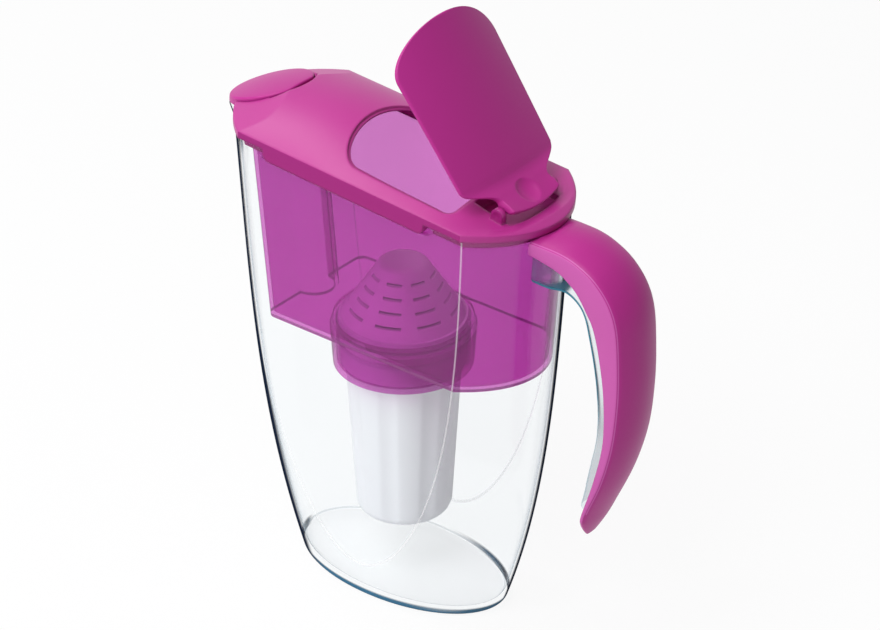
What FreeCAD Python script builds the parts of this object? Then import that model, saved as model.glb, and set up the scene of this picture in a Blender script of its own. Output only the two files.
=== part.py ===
import FreeCAD, Part
import os
from math import asin, cos, pi, sin

V = FreeCAD.Vector
os.makedirs("parts", exist_ok=True)

# Millimetres. X runs from the spout (-X) to the handle (+X), Z is up, the foot stands on Z = 0.
FIT_GAP = 0.3          # between pieces that part from each other
PIN_GAP = 0.05         # radial running clearance of a pivot pin
BED_GAP = 0.05         # between the cartridge and what fills it

# Jug: half-widths of its oval at four equal steps of height, from the foot to the rim
RIM_Z = 250.0
END_REACH = (63.5, 83.6, 91.0, 97.4)
SIDE_REACH = (36.1, 50.2, 60.6, 62.9)
FLAT_FOOT = 39.5       # half distance between the flat side panels at the foot
FLAT_RIM = 42.8        # and at the rim
RIM_TILT = 4.175       # degrees by which the rim rises towards the spout
JUG_WALL = 2.6
JUG_FLOOR = 4.0
FOOT_ROUND = 2.0
RIM_DROP = 4.0         # jug rim below the lid's edge plane
DIP_DROP = 10.0        # the same in the two long dips of the rim
DIP_FRONT = 14.4       # the dips end this far before the rim's corners on the spout side
DIP_REAR = 20.4        # and on the handle side

# Pouring lip
SPOUT_OVER = 11.0      # lip beyond the end of the rim
SPOUT_R = 21.5
SPOUT_ROOT_R = 17.2
SPOUT_LEAN = 23.0      # axis shift from root to rim
SPOUT_H = 60.0         # root to rim
LIP_FORE = 7.6         # the lip starts to fall this far before the spout's middle
LIP_SLOPE = 0.32

# Handle: x beyond the end of the rim, drop below the rim, cover depth, cover half-width
HANDLE = (
    (-5.4, 9.5, 11.0, 16.5),
    (14.6, 10.0, 14.5, 16.5),
    (27.6, 13.5, 17.0, 16.5),
    (38.6, 20.0, 19.0, 16.5),
    (47.6, 30.5, 20.0, 16.5),
    (52.6, 44.0, 18.5, 16.5),
    (54.6, 64.5, 15.3, 16.5),
    (54.6, 87.0, 12.3, 16.5),
    (51.6, 113.0, 9.5, 16.5),
    (44.6, 138.0, 8.0, 16.0),
    (34.1, 162.0, 5.5, 15.0),
    (30.2, 170.2, 4.6, 11.5),
    (25.6, 178.5, 3.4, 4.0),
)
HANDLE_CROWN = 4.0
SPINE_ROWS = 11        # the clear spine ends at this row
SPINE_HALF = 11.0
SPINE_COVER = 3.5      # cover thickness over the back of the spine
# Inner edge of the spine, measured like the handle
SPINE_EDGE = ((-7.4, 41.0), (1.6, 41.2), (13.3, 40.0), (23.0, 47.0), (28.0, 63.0), (31.9, 82.0), (33.8, 100.5),
              (33.2, 116.0), (30.0, 131.0), (27.0, 144.0), (25.2, 157.0))

# Hopper
HOPPER_GAP = 0.5       # to the jug wall
HOPPER_WALL = 2.0
HOPPER_DEPTH = 100.0   # floor below the rim
HOPPER_FLOOR = 2.2
HOPPER_END = 60.0      # spout-side wall from the middle, at the floor
HOPPER_LEAN = 8.5      # lean of that wall over the hopper's depth
HOPPER_CORNER = 5.0
CHANNEL_R = 11.0       # pour channel in the spout-side wall
FLANGE_T = 1.5
FLANGE_INSET = 0.6     # flange edge inside the jug's outer face

# Cartridge
HEAD_H = 25.3
CUP_STEP = 3.0         # cup's top inside the head's edge
CUP_TAPER = 5.5
CUP_H = 92.2
CUP_WALL = 2.4
CUP_ROUND = 6.0        # bottom edge
FLUTES = 8
FLUTE_R = 26.0
FLUTE_DEPTH = 0.9
FLUTE_STOP = 8.0       # plain collar above the flutes
OUTLET_R = 1.2
OUTLET_RINGS = ((8.0, 6), (15.0, 12))
SEAL_R = 1.4
SEAL_RISE = 11.3
DOME_STEP = 1.4        # dome's foot inside the head's edge
DOME_TAPER = 20.0
DOME_H = 31.0
DOME_WALL = 1.6
DOME_ROUND = 5.0
SLOT_COLUMNS = 8
SLOT_ROWS = 4
SLOT_START = 5.0
SLOT_PITCH = 6.2
SLOT_T = 1.6
SLOT_SPREAD = 0.24     # half-width of a slot as a share of the dome's radius there
SCREEN_T = 1.2
SCREEN_SINK = 6.0      # screen below the top of the head
PAD_T = 3.0
GRID_T = 1.6
GRID_HOLES = 6
GRID_HOLE_R = 4.5
GRID_RING_R = 12.0

# Cartridge well under the hopper floor
WELL_DEPTH = 21.6
WELL_LIP = 2.0
WELL_WALL = 1.8
WELL_FLARE = 1.4       # radius gained from the lip to the floor
WELL_BEAD = 2.4
WELL_GAP = 1.4         # to the cartridge head
WELL_SIDE = 0.78       # to the jug's flat sides
CUP_HOLE_GAP = 0.8     # cup to the hole in the well's lip

# Lid
LID_OVER = 1.0         # lid edge outside the jug rim
LID_WALL = 2.0
LID_TOP = 24.0         # above the highest point of the hump
SIDE_T = 3.7           # thickness of the lid's side walls
SIDE_LIP = 1.4         # part of it that reaches down past the hopper flange
SIDE_GAP = 2.0         # to the ends of the jug rim's dips
SIDE_ROUND = 4.0       # lower corners of the side walls
SKIRT_T = 1.8
SKIRT_GAP = 0.4
SKIRT_DROP = 8.7
END_SLOPE = 0.44       # rise of the lid's rounded ends
RING_H = 4.5           # crown of the lid round the hinge
CROWN = ((30.0, 7.8), (0.0, 10.8), (-22.0, 13.4), (-45.0, 14.4), (-65.0, 13.6))
CROWN_FRONT = 11.5
OPEN_BORDER = 8.6      # filling opening inside the lid's long edges
OPEN_APEX = -20.9
OPEN_ARCH = 20.0       # rise of the arched end
OPEN_ROUND = 6.0       # corners at the hinge
OPEN_LEDGE = 1.6
LEDGE_DEPTH = 1.2

# Filling flap, drawn shut, stored open
FLAP_T = 2.0
FLAP_LIFT = 0.4        # underside above the lid
FLAP_OPEN = 47.9       # degrees
FLAP_OVER = 1.0        # beyond the opening's long edges
FLAP_FLARE = 2.1       # extra half-width at the shoulders
FLAP_TIP_OVER = 1.8
FLAP_ARCH = 20.5       # rise of the rounded free end
FLAP_ROUND = 3.0       # corners at the neck
PIVOT_BACK = 20.1      # pivot from the end of the rim
PIVOT_SINK = 0.2       # pivot below the crown round it
OPEN_PIVOT = 18.3      # opening ends this far before the pivot
FLAP_PIVOT = 15.3      # the plate's corners
NECK_PIVOT = 8.3       # the neck
NECK_HALF = 20.6
TAB_HALF = 18.9
TAB_BOW = 3.0          # bulge of the tab's free edge
TAB = ((-14.3, 0.9), (-11.3, 2.7), (2.9, 7.7), (4.0, 5.9), (2.7, 1.7), (0.0, -1.0), (-7.3, 0.7))
HUB_R = 3.4
PIN_R = 1.8
PIN_REACH = 3.0
EAR_R = 3.6
EAR_T = 3.4
POCKET_REACH = 9.5     # thumb recess beyond the pivot
POCKET_SINK = 2.6      # its floor below the lid's edge plane
POCKET_WALL = 2.0      # between the opening and the recess
TUB_WALL = 1.6
TUB_INSET = 8.0
DIMPLE_R = 11.0
DIMPLE_DEPTH = 2.4

# Spout cover
LEAF_GAP = 0.5
LEAF_T = 2.0
LEAF_DOME_R = 120.0
LEAF_TILT = 21.94      # degrees by which the cover falls towards the lip
LEAF_H = 6.2           # its middle above the lid's edge plane
LEAF_BACK = 19.5       # straight rear edge behind the spout's middle
LEAF_PIVOT = 17.5
LEAF_PIVOT_H = 8.0
LEAF_RELIEF = 1.6      # room behind the rear edge for its swing
LEAF_PIN_R = 1.3
LEAF_PIN_START = 9.5
LEAF_PIN_END = 16.0
LEAF_WALL = 2.2

# Sizes that follow from the ones above
FAR = 2 * RIM_Z
RIM_END = END_REACH[3]
RIM_CORNER = RIM_END * (1 - (FLAT_RIM / SIDE_REACH[3]) ** 2) ** 0.5
DIP_START = DIP_FRONT - RIM_CORNER
DIP_END = RIM_CORNER - DIP_REAR
SPOUT_X = SPOUT_R - RIM_END - SPOUT_OVER
LIP_START = SPOUT_X - LIP_FORE
LIP_CUT = SPOUT_R + 3 * LEAF_GAP
HOPPER_Z = RIM_Z - HOPPER_DEPTH
WELL_Z = HOPPER_Z - WELL_DEPTH
WELL_TOP_R = FLAT_FOOT + (FLAT_RIM - FLAT_FOOT) * HOPPER_Z / RIM_Z - JUG_WALL - WELL_SIDE
WELL_R = WELL_TOP_R - WELL_FLARE
WELL_BORE = WELL_R - WELL_WALL
HEAD_R = WELL_BORE - WELL_GAP
CUP_R_TOP = HEAD_R - CUP_STEP
CUP_R = CUP_R_TOP - CUP_TAPER
DOME_R = HEAD_R - DOME_STEP
DOME_TOP_R = DOME_R - DOME_TAPER
SEAT_Z = WELL_Z + WELL_LIP + FIT_GAP
HEAD_TOP = SEAT_Z + HEAD_H
CUP_BOTTOM = SEAT_Z - CUP_H
CUP_INSIDE = CUP_BOTTOM + CUP_WALL
CUP_BORE = CUP_R_TOP - CUP_WALL - FLUTE_DEPTH
BED_TOP = HEAD_TOP - SCREEN_SINK
FLANGE_TOP = FLANGE_T - DIP_DROP
LID_HALF = FLAT_RIM + LID_OVER
OPEN_HALF = LID_HALF - OPEN_BORDER
PIVOT_X = RIM_END - PIVOT_BACK
PIVOT_H = RING_H - PIVOT_SINK
OPEN_END = PIVOT_X - OPEN_PIVOT
POCKET_HALF = TAB_HALF + FIT_GAP
EAR_REACH = POCKET_HALF + EAR_T
LEAF_HOLE_R = SPOUT_R + LEAF_GAP
LEAF_PIVOT_X = SPOUT_X + LEAF_PIVOT


def cubic(values, z):
    """Value at height z of the cubic through four values at equal steps from foot to rim."""
    t = 3.0 * z / RIM_Z
    total = 0.0
    for i, value in enumerate(values):
        term = value
        for j in range(4):
            if j != i:
                term *= (t - j) / (i - j)
        total += term
    return total


def box(x0, x1, y0, y1, z0, z1):
    return Part.makeBox(x1 - x0, y1 - y0, z1 - z0, V(x0, y0, z0))


def prism_y(points, half):
    """Solid from a closed outline of x, z points, carried from -half to +half along Y."""
    points = list(points)
    wire = Part.makePolygon([V(x, -half, z) for x, z in points + points[:1]])
    return Part.Face(wire).extrude(V(0, 2 * half, 0))


def prism_z(wire, z0, z1):
    face = Part.Face(wire)
    face.translate(V(0, 0, z0))
    return face.extrude(V(0, 0, z1 - z0))


def lines(points):
    return [Part.makeLine(a, b) for a, b in zip(points, points[1:])]


def disc(x, r, z0, z1):
    return Part.makeCylinder(r, z1 - z0, V(x, 0, z0))


def cone(r0, r1, z0, z1):
    return Part.makeCone(r0, r1, z1 - z0, V(0, 0, z0))


def rod_y(x, z, r, y0, y1):
    return Part.makeCylinder(r, y1 - y0, V(x, y0, z), V(0, 1, 0))


def cross_rod(x, z, r, half):
    return rod_y(x, z, r, -half, half)


def fuse(first, *others):
    for other in others:
        first = first.fuse(other)
    return first


def cut(first, *others):
    for other in others:
        first = first.cut(other)
    return first


def lid_place(shape):
    """Puts a shape drawn on the lid's edge plane (Z = 0) into the tilted rim."""
    shape = shape.copy()
    shape.translate(V(0, 0, RIM_Z))
    shape.rotate(V(0, 0, RIM_Z), V(0, 1, 0), RIM_TILT)
    return shape


def above(h):
    """All the space above a height over the lid's edge plane."""
    return lid_place(box(-FAR, FAR, -FAR, FAR, h, FAR))


def body(inset, z0, z1):
    """Jug form: an oval that widens upwards between two flat sides, drawn in by inset."""
    wires = []
    steps = 8
    for i in range(steps + 1):
        z = z0 + (z1 - z0) * i / steps
        oval = Part.Ellipse(V(0, 0, z), cubic(END_REACH, z) - inset, cubic(SIDE_REACH, z) - inset)
        wires.append(Part.Wire([oval.toShape()]))
    solid = Part.makeLoft(wires, True)
    slope = (FLAT_RIM - FLAT_FOOT) / RIM_Z
    low, high = [FLAT_FOOT + slope * z - inset for z in (z0, z1)]
    side = [V(-FAR, -low, z0), V(-FAR, low, z0), V(-FAR, high, z1), V(-FAR, -high, z1)]
    flats = Part.Face(Part.makePolygon(side + side[:1])).extrude(V(2 * FAR, 0, 0))
    return solid.common(flats)


OVER_RIM = RIM_Z + SPOUT_OVER  # forms that the rim cuts run up to here
UNDER_RIM = RIM_Z - HOPPER_DEPTH / 2


def spout_cone(inset):
    """Round pouring spout that leans out of the jug's end."""
    grow = (OVER_RIM - RIM_Z + SPOUT_H) / SPOUT_H
    wires = []
    for k, z in ((0.0, RIM_Z - SPOUT_H), (grow, OVER_RIM)):
        x = SPOUT_X + SPOUT_LEAN * (1 - k)
        r = SPOUT_ROOT_R + (SPOUT_R - SPOUT_ROOT_R) * k - inset
        wires.append(Part.Wire([Part.Circle(V(x, 0, z), V(0, 0, 1), r).toShape()]))
    return Part.makeLoft(wires, True, True)


def handle_frames():
    """Crest point, tangent and outward normal at each row of the handle."""
    points = [V(RIM_END + row[0], 0, RIM_Z - row[1]) for row in HANDLE]
    frames = []
    for i, point in enumerate(points):
        tangent = points[min(i + 1, len(points) - 1)] - points[max(i - 1, 0)]
        tangent.normalize()
        frames.append((point, tangent, V(-tangent.z, 0, tangent.x)))
    return frames


def handle_grip():
    wires = []
    widest = HANDLE[0][3]
    for (point, tangent, out), (x, drop, depth, half) in zip(handle_frames(), HANDLE):
        crown = HANDLE_CROWN * (half / widest) ** 2
        side = V(0, half, 0)
        high, low = point - out * crown, point - out * depth
        arc = Part.Arc(high - side, point, high + side).toShape()
        wires.append(Part.Wire([arc] + lines([high + side, low + side, low - side, high - side])))
    return Part.makeLoft(wires, True)


def back_line(cover, y):
    """Smooth line along the handle, at depth cover under its crest, down to the end of the spine."""
    curve = Part.BSplineCurve()
    rows = handle_frames()[:SPINE_ROWS]
    curve.interpolate([point - out * cover + V(0, y, 0) for point, tangent, out in rows])
    return curve.toShape()


def handle_spine():
    back = back_line(SPINE_COVER, -SPINE_HALF)
    edge = Part.BSplineCurve()
    edge.interpolate([V(RIM_END + x, -SPINE_HALF, RIM_Z - drop) for x, drop in SPINE_EDGE])
    edge = edge.toShape()
    ends = [Part.makeLine(back.Vertexes[i].Point, edge.Vertexes[i].Point) for i in (0, 1)]
    wire = Part.Wire(Part.__sortEdges__([back, edge] + ends))
    return Part.Face(wire).extrude(V(0, 2 * SPINE_HALF, 0))


def handle_channel():
    """Space inside the grip for the spine, open towards the jug."""
    half = SPINE_HALF + FIT_GAP
    back = back_line(SPINE_COVER - FIT_GAP, -half)
    top, low = back.Vertexes[0].Point, back.Vertexes[1].Point
    stop = low + handle_frames()[SPINE_ROWS - 1][1] * FIT_GAP
    wire = Part.Wire([back] + lines([low, stop, V(0, -half, stop.z), V(0, -half, top.z), top]))
    return Part.Face(wire).extrude(V(0, 2 * half, 0))


def make_jug():
    outer = body(0, 0, OVER_RIM)
    foot = [edge for edge in outer.Edges if edge.BoundBox.ZMax < FIT_GAP]
    outer = outer.makeFillet(FOOT_ROUND, foot)
    jug = fuse(outer, spout_cone(0), handle_spine())
    jug = cut(jug, body(JUG_WALL, JUG_FLOOR, OVER_RIM + JUG_FLOOR), spout_cone(JUG_WALL), above(-RIM_DROP))
    for y0, y1 in ((-FAR, -OPEN_HALF), (OPEN_HALF, FAR)):
        jug = jug.cut(lid_place(box(DIP_START, DIP_END, y0, y1, -DIP_DROP, FAR)))
    over_lip = prism_y(((LIP_START, -RIM_DROP), (LIP_START - FAR, -RIM_DROP - FAR * LIP_SLOPE),
                        (LIP_START - FAR, FAR), (LIP_START, FAR)), FAR)
    tip = box(-FAR, SPOUT_X - SPOUT_R / 2, -FAR, FAR, -FAR, FAR)
    for zone in (disc(SPOUT_X, LIP_CUT, -FAR, FAR), tip):
        jug = jug.cut(lid_place(over_lip.common(zone)))
    return jug


def make_handle_cover():
    grip = cut(handle_grip(), handle_channel(), body(-FIT_GAP, UNDER_RIM, OVER_RIM))
    edge = RIM_END + LID_OVER + 2 * FIT_GAP
    return grip.cut(lid_place(box(0, edge, -FAR, FAR, -RIM_DROP - FIT_GAP, FAR)))


def end_wall(z):
    """Place of the hopper's leaning spout-side wall at height z."""
    return -HOPPER_END - HOPPER_LEAN * (z - HOPPER_Z) / HOPPER_DEPTH


def hopper_form(inset, z0):
    """Hopper body inside the jug, cut by its spout-side wall, with its two upright corners rounded."""
    form = body(JUG_WALL + HOPPER_GAP + inset, z0, OVER_RIM)
    low, high = end_wall(z0) + inset, end_wall(OVER_RIM) + inset
    form = form.common(prism_y(((low, z0), (FAR, z0), (FAR, OVER_RIM), (high, OVER_RIM)), FAR))
    upright = []
    for edge in form.Edges:
        size = edge.BoundBox
        if size.XMax < low + HOPPER_CORNER and size.ZLength > WELL_DEPTH and size.YLength < HOPPER_CORNER:
            upright.append(edge)
    return form.makeFillet(HOPPER_CORNER - inset, upright)


def pour_channel(r):
    start = V(end_wall(WELL_Z), 0, WELL_Z)
    end = V(end_wall(OVER_RIM), 0, OVER_RIM)
    return Part.makeCylinder(r, (end - start).Length, start, end - start)


def hopper_flange():
    """Two strips on the dips of the jug's rim, from which the hopper hangs."""
    slab = lid_place(box(DIP_START + FIT_GAP, DIP_END - FIT_GAP, -FAR, FAR, -DIP_DROP, FLANGE_TOP))
    ring = body(FLANGE_INSET, UNDER_RIM, OVER_RIM).cut(hopper_form(HOPPER_WALL, UNDER_RIM - HOPPER_WALL))
    return [strip for strip in ring.common(slab).Solids if abs(strip.CenterOfMass.y) > OPEN_HALF / 2]


def make_hopper():
    inside = HOPPER_Z + HOPPER_FLOOR
    outer = cut(hopper_form(0, HOPPER_Z), pour_channel(CHANNEL_R), above(-DIP_DROP))
    inner = hopper_form(HOPPER_WALL, inside).cut(pour_channel(CHANNEL_R + HOPPER_WALL))
    well = cone(WELL_R, WELL_TOP_R, WELL_Z, HOPPER_Z)
    floor = disc(0, WELL_TOP_R, HOPPER_Z, inside)
    bead = disc(0, WELL_R, HOPPER_Z, inside + WELL_BEAD)
    hopper = fuse(outer.cut(inner), well, floor, bead)
    hopper = cut(hopper, disc(0, WELL_BORE, WELL_Z + WELL_LIP, inside + 2 * WELL_BEAD),
                 disc(0, CUP_R_TOP + CUP_HOLE_GAP, WELL_Z - WELL_LIP, HOPPER_Z))
    return fuse(hopper, *hopper_flange())


def cup_bore(z):
    """Inside radius of the cup at height z."""
    return CUP_BORE - (CUP_R_TOP - CUP_R) * (SEAT_Z - z) / CUP_H


def cup_plug(z0, z1):
    return cone(cup_bore(z0) - BED_GAP, cup_bore(z1) - BED_GAP, z0, z1)


def head_bore(z):
    """Inside radius of the cartridge head at height z."""
    return CUP_BORE + (DOME_R - DOME_WALL - CUP_BORE) * (z - SEAT_Z) / HEAD_H


def make_cartridge_cup():
    cup = cone(CUP_R, CUP_R_TOP, CUP_BOTTOM, SEAT_Z)
    cup = cup.makeFillet(CUP_ROUND, [edge for edge in cup.Edges if edge.BoundBox.ZMax < CUP_BOTTOM + FIT_GAP])
    lean = (CUP_R_TOP - CUP_R) / CUP_H
    axis_r = CUP_R - FLUTE_DEPTH + FLUTE_R
    for i in range(FLUTES):
        angle = 2 * pi * (i + 0.5) / FLUTES
        start = V(axis_r * cos(angle), axis_r * sin(angle), CUP_BOTTOM)
        way = V(lean * cos(angle), lean * sin(angle), 1)
        cup = cup.cut(Part.makeCylinder(FLUTE_R, CUP_H - FLUTE_STOP, start, way))
    cup = cup.cut(cone(cup_bore(CUP_INSIDE), cup_bore(SEAT_Z), CUP_INSIDE, SEAT_Z))
    for ring_r, count in OUTLET_RINGS:
        for i in range(count):
            angle = 2 * pi * i / count
            place = V(ring_r * cos(angle), ring_r * sin(angle), CUP_BOTTOM)
            cup = cup.cut(Part.makeCylinder(OUTLET_R, CUP_WALL, place))
    return cup


def make_cartridge_head():
    head = disc(0, HEAD_R, SEAT_Z, HEAD_TOP).cut(cone(CUP_BORE, DOME_R - DOME_WALL, SEAT_Z, HEAD_TOP))
    return head.cut(Part.makeTorus(HEAD_R, SEAL_R, V(0, 0, SEAT_Z + SEAL_RISE)))


def make_cartridge_dome():
    top = HEAD_TOP + DOME_H
    dome = cone(DOME_R, DOME_TOP_R, HEAD_TOP, top)
    rounds = [e for e in dome.Edges if e.BoundBox.ZMin > top - FIT_GAP and e.BoundBox.XLength > DOME_TOP_R]
    dome = dome.makeFillet(DOME_ROUND, rounds)
    dome = dome.cut(cone(DOME_R - DOME_WALL, DOME_TOP_R - DOME_WALL, HEAD_TOP, top - DOME_WALL))
    for i in range(SLOT_COLUMNS):
        for j in range(SLOT_ROWS):
            rise = SLOT_START + SLOT_PITCH * j
            r = DOME_R + (DOME_TOP_R - DOME_R) * rise / DOME_H
            half, z = SLOT_SPREAD * r, HEAD_TOP + rise
            slot = box(r - 5 * DOME_WALL, r + 5 * DOME_WALL, -half, half, z, z + SLOT_T)
            slot.rotate(V(0, 0, 0), V(0, 0, 1), 360.0 * (i + 0.5) / SLOT_COLUMNS)
            dome = dome.cut(slot)
    return dome


def make_well_seal():
    ring = Part.makeTorus(HEAD_R, SEAL_R - BED_GAP, V(0, 0, SEAT_Z + SEAL_RISE))
    return ring.common(disc(0, WELL_BORE - FIT_GAP, SEAT_Z, HEAD_TOP))


def make_inlet_screen():
    top = BED_TOP + SCREEN_T
    return cone(head_bore(BED_TOP) - BED_GAP, head_bore(top) - BED_GAP, BED_TOP, top)


def make_sorbent_bed():
    upper = cone(CUP_BORE - BED_GAP, head_bore(BED_TOP) - BED_GAP, SEAT_Z, BED_TOP)
    return fuse(cup_plug(CUP_INSIDE + GRID_T + PAD_T, SEAT_Z), upper)


def make_outlet_pad():
    return cup_plug(CUP_INSIDE + GRID_T, CUP_INSIDE + GRID_T + PAD_T)


def make_outlet_grid():
    grid = cup_plug(CUP_INSIDE, CUP_INSIDE + GRID_T)
    for i in range(GRID_HOLES):
        angle = 2 * pi * i / GRID_HOLES
        place = V(GRID_RING_R * cos(angle), GRID_RING_R * sin(angle), CUP_INSIDE)
        grid = grid.cut(Part.makeCylinder(GRID_HOLE_R, GRID_T, place))
    return grid


def lid_outline(inset):
    """Plan of the lid's edge: the rim oval between the flats, drawn in by inset."""
    a = RIM_END + LID_OVER - inset
    b = SIDE_REACH[3] + LID_OVER - inset
    y = LID_HALF - inset
    turn = asin(y / b)
    x = a * cos(turn)
    oval = Part.Ellipse(V(0, 0, 0), a, b)
    right = Part.ArcOfEllipse(oval, -turn, turn).toShape()
    left = Part.ArcOfEllipse(oval, pi - turn, pi + turn).toShape()
    near = Part.makeLine(V(-x, -y, 0), V(x, -y, 0))
    return Part.Wire([near, right, Part.makeLine(V(x, y, 0), V(-x, y, 0)), left])


def crown_block(drop):
    """Solid under the lid's crowned top, lowered by drop."""
    end = RIM_END + LID_OVER
    rows = ((end, RING_H), (PIVOT_X - FLAP_PIVOT + LID_OVER, RING_H)) + CROWN + ((-end, CROWN_FRONT),)
    y = LID_HALF
    wires = []
    for x, h in rows:
        near, far = V(x, -y, -drop), V(x, y, -drop)
        arc = Part.Arc(near, V(x, 0, h - drop), far).toShape()
        wires.append(Part.Wire([arc] + lines([far, V(x, y, -LID_TOP), V(x, -y, -LID_TOP), near])))
    return Part.makeLoft(wires, True)


def hump(inset, base):
    """Lid form from height base up: crowned along the middle, falling to the edge at both ends."""
    a = RIM_END + LID_OVER - inset
    b = SIDE_REACH[3] + LID_OVER - inset
    ovals = []
    for h in (-LID_TOP, LID_TOP):
        oval = Part.Ellipse(V(0, 0, h - inset), a - h / END_SLOPE, b - h / END_SLOPE)
        ovals.append(Part.Wire([oval.toShape()]))
    ends = Part.makeLoft(ovals, True, True)
    return prism_z(lid_outline(inset), base, LID_TOP - inset).common(ends).common(crown_block(inset))


def half_oval(x, half, rise):
    """Half of an oval that bulges by rise towards the spout, from y = half to y = -half."""
    oval = Part.Ellipse(V(x, half, 0), V(x - rise, 0, 0), V(x, 0, 0))
    return Part.ArcOfEllipse(oval, 0, pi).toShape()


def upright_edges(form, x):
    """Straight upright edges of a form at one place along the pitcher."""
    found = []
    for edge in form.Edges:
        size = edge.BoundBox
        if size.ZLength > LID_TOP and abs(size.XMin - x) < FIT_GAP and abs(size.XMax - x) < FIT_GAP:
            found.append(edge)
    return found


def bowed(x, half, bow):
    """Upright cylinder whose side bulges by bow towards the handle, up to x, between -half and half."""
    r = (half ** 2 + bow ** 2) / (2 * bow)
    return disc(x - r, r, -LID_TOP, LID_TOP)


def opening(inset):
    """Filling opening through the lid, straight-sided with an arched end."""
    y, start, end = OPEN_HALF - inset, OPEN_APEX + OPEN_ARCH, OPEN_END - inset
    sides = lines([V(start, -y, 0), V(end, -y, 0), V(end, y, 0), V(start, y, 0)])
    form = prism_z(Part.Wire(sides + [half_oval(start, y, OPEN_ARCH - inset)]), -LID_TOP, 2 * LID_TOP)
    return form.makeFillet(OPEN_ROUND - inset, upright_edges(form, end))


def lid_skirt():
    """Rim inside the jug wall at both ends of the lid, following the jug's form."""
    outer = JUG_WALL + SKIRT_GAP
    ring = body(outer, UNDER_RIM, OVER_RIM).cut(body(outer + SKIRT_T, UNDER_RIM - 1, OVER_RIM + 1))
    clear = LEAF_HOLE_R + LEAF_WALL
    zones = [box(DIP_END + LID_OVER, FAR, -FAR, FAR, -SKIRT_DROP, LID_WALL / 4)]
    for y0, y1 in ((-FAR, -clear), (clear, FAR)):
        zones.append(box(LIP_START, DIP_START - LID_OVER, y0, y1, -SKIRT_DROP, LID_WALL / 4))
    return [ring.common(lid_place(zone)) for zone in zones]


def lid_shell(form):
    """Hollow lid with thick sides that rest on the hopper flange."""
    low = FIT_GAP - DIP_DROP
    dips = box(DIP_START + SIDE_GAP, DIP_END - SIDE_GAP, -FAR, FAR, low, FAR)
    corners = [edge for edge in dips.Edges if edge.BoundBox.ZMax < 0 and edge.BoundBox.YLength > FAR]
    sides = prism_z(lid_outline(0), low, -LID_WALL / 2).common(dips.makeFillet(SIDE_ROUND, corners))
    return cut(fuse(form, sides), hump(LID_WALL, -LID_WALL / 2),
               prism_z(lid_outline(SIDE_T), -LID_TOP, -LID_WALL / 4),
               prism_z(lid_outline(SIDE_LIP), -LID_TOP, FLANGE_TOP))


def hinge_ears():
    ears = []
    for y0, y1 in ((-EAR_REACH, -POCKET_HALF), (POCKET_HALF, EAR_REACH)):
        ears.append(rod_y(PIVOT_X, PIVOT_H, EAR_R, y0, y1))
        ears.append(box(PIVOT_X - EAR_R, PIVOT_X + EAR_R, y0, y1, 0, PIVOT_H))
    return ears


def make_lid():
    form = hump(0, -RIM_DROP + FIT_GAP)
    start = OPEN_END - LID_WALL / 2
    pocket_end = PIVOT_X + POCKET_REACH
    leaf_wall = form.common(disc(SPOUT_X, LEAF_HOLE_R + LEAF_WALL, -LID_TOP, LID_TOP))
    tub = prism_z(lid_outline(TUB_INSET), -POCKET_SINK - TUB_WALL, -LID_WALL / 4)
    tub = tub.common(box(start, FAR, -EAR_REACH, EAR_REACH, -FAR, FAR))
    tub_top = form.common(box(start, pocket_end + TUB_WALL, -EAR_REACH, EAR_REACH, -LID_WALL / 2, LID_TOP))
    lid = fuse(lid_shell(form), leaf_wall, tub, tub_top, *hinge_ears())
    pocket = box(OPEN_END + POCKET_WALL, pocket_end, -POCKET_HALF, POCKET_HALF, -POCKET_SINK, LID_TOP)
    pocket = pocket.common(bowed(pocket_end, POCKET_HALF, TAB_BOW - FIT_GAP))
    lid = cut(lid, opening(0).cut(crown_block(LEDGE_DEPTH)), opening(OPEN_LEDGE), pocket,
              disc(SPOUT_X, LEAF_HOLE_R, -LID_TOP, LID_TOP),
              disc(SPOUT_X + LEAF_RELIEF, LEAF_HOLE_R, LEAF_PIVOT_H, LID_TOP),
              cross_rod(PIVOT_X, PIVOT_H, PIN_R + PIN_GAP, TAB_HALF + PIN_REACH + FIT_GAP),
              cross_rod(LEAF_PIVOT_X, LEAF_PIVOT_H, LEAF_PIN_R + PIN_GAP, LEAF_PIN_END + FIT_GAP))
    return fuse(lid_place(lid), *lid_skirt())


def flap_plate():
    """Crowned plate that lies over the opening, with corners cut back to the neck."""
    half, wide = OPEN_HALF + FLAP_OVER, OPEN_HALF + FLAP_OVER + FLAP_FLARE
    shoulder = OPEN_APEX - FLAP_TIP_OVER + FLAP_ARCH
    corner, neck = PIVOT_X - FLAP_PIVOT, PIVOT_X - NECK_PIVOT
    edge = [V(shoulder, -wide, 0), V(corner, -half, 0), V(neck, -NECK_HALF, 0), V(neck, NECK_HALF, 0),
            V(corner, half, 0), V(shoulder, wide, 0)]
    end = half_oval(shoulder, wide, FLAP_ARCH)
    form = prism_z(Part.Wire(lines(edge) + [end]), -LID_TOP, 2 * LID_TOP)
    form = form.makeFillet(FLAP_ROUND, upright_edges(form, corner))
    return crown_block(-FLAP_LIFT - FLAP_T).cut(crown_block(-FLAP_LIFT)).common(form)


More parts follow.
